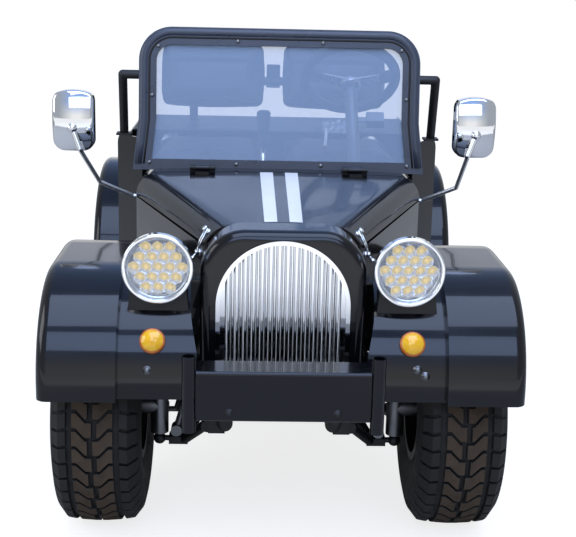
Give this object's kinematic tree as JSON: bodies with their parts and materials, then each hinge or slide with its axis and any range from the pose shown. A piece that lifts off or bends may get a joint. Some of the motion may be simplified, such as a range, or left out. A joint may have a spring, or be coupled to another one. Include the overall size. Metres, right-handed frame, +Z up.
{
  "type": "retro roadster kart",
  "caption": "Small open two-seat kart styled as a vintage roadster, with an arched grille, round lamps, flared wings and a raked windscreen.",
  "frame": {"origin": "on the ground, midway along the length and on the centre line", "axes": "+Z up, the front faces -Y, the driver's side is +X"},
  "size_m": [1.052, 2.04, 1.0001],
  "materials": {
    "gloss_black": "gloss black paint",
    "satin_black": "satin black powder coat",
    "chrome": "polished chrome plate",
    "screen_glass": "lightly tinted clear pane",
    "lens": "clear lamp lens",
    "amber": "amber lamp lens",
    "red": "red lamp lens",
    "mirror": "silvered mirror",
    "vinyl": "dark grey grained vinyl",
    "tyre": "black tyre rubber",
    "rim": "black painted steel wheel",
    "steel": "zinc-plated steel",
    "alloy": "brushed aluminium",
    "plastic": "matt black moulded plastic",
    "cast": "bare cast engine metal"
  },
  "bodies": {
    "chassis": {"frame": "satin_black", "floor_pan": "satin_black", "front_bumper": "gloss_black", "nose_shell": "gloss_black", "grille": "chrome", "grille_screen": "plastic", "bonnet_sides": "gloss_black", "cowl": "gloss_black", "hood_hinges": "satin_black", "door_jambs": "gloss_black", "windscreen_frame": "satin_black", "windscreen_glass": "screen_glass", "windscreen_stays": "satin_black", "front_wings": "gloss_black", "front_aprons": "gloss_black", "headlamps": "chrome", "headlamp_lenses": "lens", "lamp_stands": "satin_black", "marker_lamps": "amber", "side_mirrors": "chrome", "mirror_glasses": "mirror", "running_boards": "gloss_black", "seat_box": "satin_black", "tunnel": "satin_black", "seat_cushion_left": "vinyl", "seat_cushion_right": "vinyl", "seat_back_left": "vinyl", "seat_back_right": "vinyl", "seat_hoop": "satin_black", "steering_column": "steel", "pedals": "steel", "shift_lever": "plastic", "lower_arms": "steel", "upper_arms": "steel", "shocks": "steel", "axle_carriers": "satin_black", "rear_wings": "gloss_black", "quarter_panels": "gloss_black", "rear_deck": "gloss_black", "engine": "cast", "silencer": "steel", "rear_bumper": "satin_black", "tail_lamps": "red"},
    "bonnet": {"hood": "gloss_black"},
    "steering": {"steering_wheel": "plastic"},
    "knuckle_l": {"knuckle_left": "steel"},
    "knuckle_r": {"knuckle_right": "steel"},
    "wheel_fl": {"tyre_front_left": "tyre", "rim_front_left": "rim"},
    "wheel_fr": {"tyre_front_right": "tyre", "rim_front_right": "rim"},
    "rear_wheels": {"tyre_rear_left": "tyre", "tyre_rear_right": "tyre", "rims_rear": "rim", "rear_axle": "steel"},
    "link": {"tie_rod": "steel"}
  },
  "joints": [
    {"name": "bonnet_hinge", "type": "hinge", "parent": "chassis", "child": "bonnet", "pos_m": [0, -0.2655, 0.684], "axis": [-1, 0, 0], "range_deg": [0, 60]},
    {"name": "steering_turn", "type": "hinge", "parent": "chassis", "child": "steering", "pos_m": [0.187, 0.082, 0.866], "axis": [0, 0.7431, 0.6691], "range_deg": [-90, 90]},
    {"name": "kingpin_left", "type": "hinge", "parent": "chassis", "child": "knuckle_l", "pos_m": [-0.25, -0.64, 0.241], "axis": [0, 0, 1], "range_deg": [-24.5, 24.5]},
    {"name": "kingpin_right", "type": "hinge", "parent": "chassis", "child": "knuckle_r", "pos_m": [0.25, -0.64, 0.241], "axis": [0, 0, 1], "range_deg": [-24.5, 24.5]},
    {"name": "wheel_front_left", "type": "hinge", "parent": "knuckle_l", "child": "wheel_fl", "pos_m": [-0.361, -0.64, 0.241], "axis": [1, 0, 0], "continuous": true},
    {"name": "wheel_front_right", "type": "hinge", "parent": "knuckle_r", "child": "wheel_fr", "pos_m": [0.361, -0.64, 0.241], "axis": [1, 0, 0], "continuous": true},
    {"name": "rear_axle_turn", "type": "hinge", "parent": "chassis", "child": "rear_wheels", "pos_m": [0, 0.69, 0.229], "axis": [1, 0, 0], "continuous": true},
    {"name": "tie_rod_slide", "type": "slide", "parent": "chassis", "child": "link", "axis": [1, 0, 0], "range_m": [-0.041, 0.041]}
  ],
  "couplings": [
    {"joint": "kingpin_left", "follows": "steering_turn", "ratio": 0.26667},
    {"joint": "kingpin_right", "follows": "steering_turn", "ratio": 0.26667},
    {"joint": "tie_rod_slide", "follows": "steering_turn", "m_per_rad": -0.024573}
  ]
}
